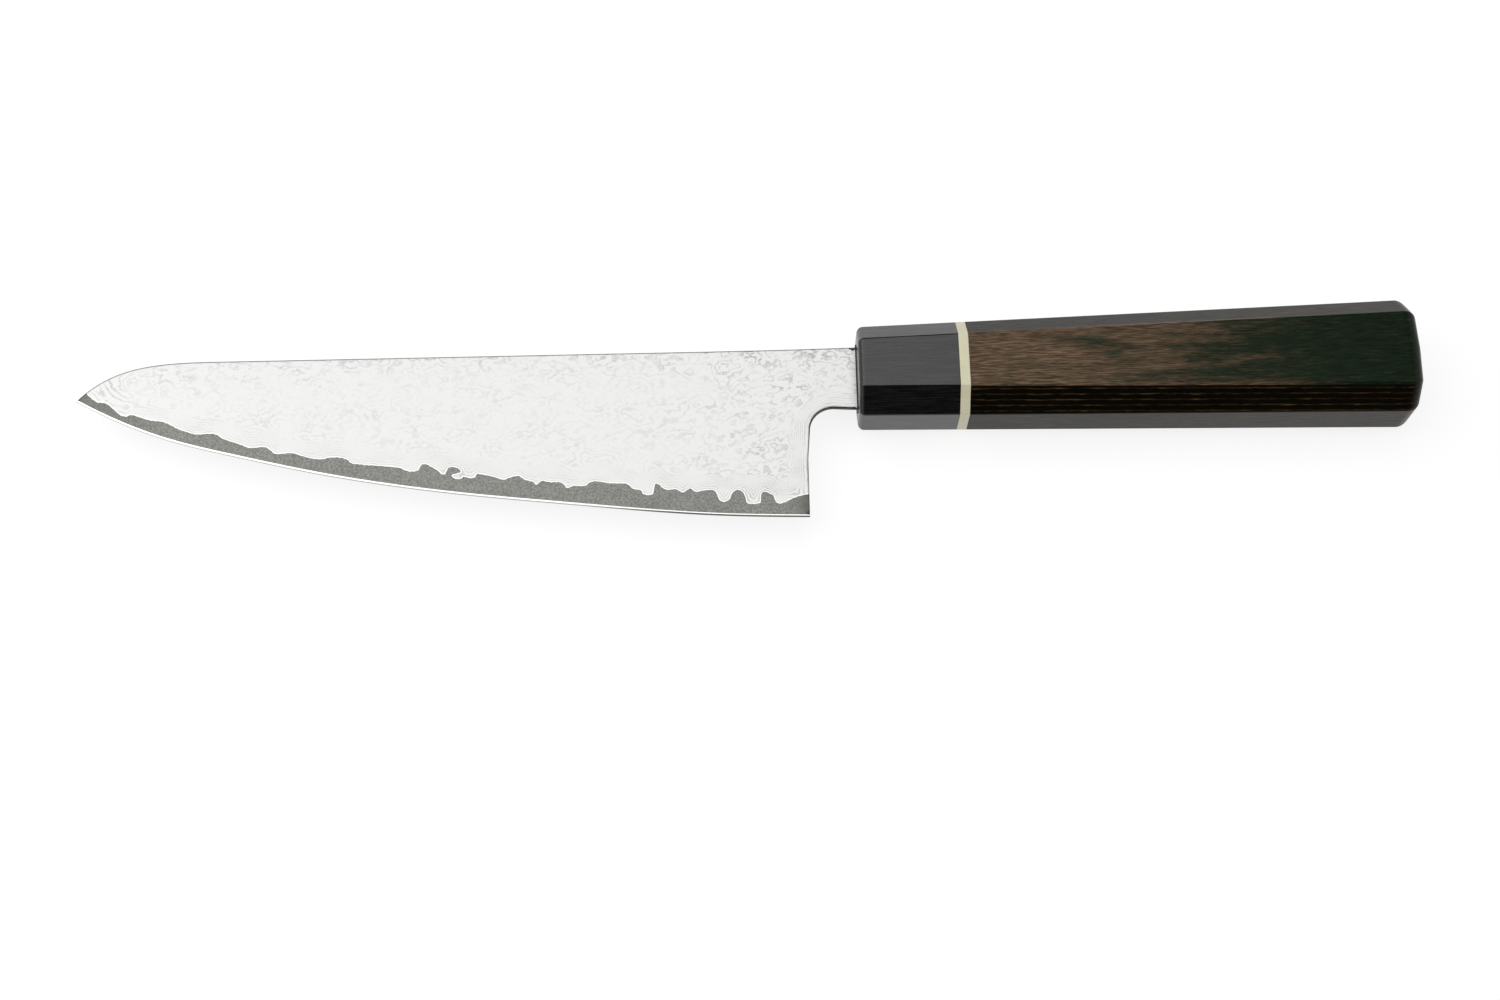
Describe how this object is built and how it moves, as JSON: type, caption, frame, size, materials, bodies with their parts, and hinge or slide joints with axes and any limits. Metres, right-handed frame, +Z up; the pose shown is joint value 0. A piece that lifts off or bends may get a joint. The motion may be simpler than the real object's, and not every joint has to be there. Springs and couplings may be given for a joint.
{
  "type": "chef knife",
  "caption": "Chef knife with a layered steel blade, a wavy exposed core along the edge and an eight-sided laminated wood handle with black ferrule and pale ring.",
  "frame": {"origin": "under the middle of the knife's box, on the surface that the knife lies on", "axes": "the knife lies on its right side: +X from tip to butt, +Y from cutting edge to spine, +Z up through the blade's left face"},
  "size_m": [0.3294, 0.0518, 0.0221],
  "materials": {
    "core_steel": "satin",
    "cladding_steel": "satin",
    "ferrule_resin": "satin",
    "spacer_resin": "satin",
    "laminated_wood": "satin",
    "dowel_wood": "matte",
    "epoxy": "satin",
    "seal": "satin"
  },
  "bodies": {
    "root": {"blade_core": "core_steel", "cladding_left": "cladding_steel", "cladding_right": "cladding_steel", "ferrule": "ferrule_resin", "spacer_ring": "spacer_resin", "handle_body": "laminated_wood", "dowel": "dowel_wood", "tang_epoxy": "epoxy", "mouth_seal": "seal"}
  },
  "joints": []
}
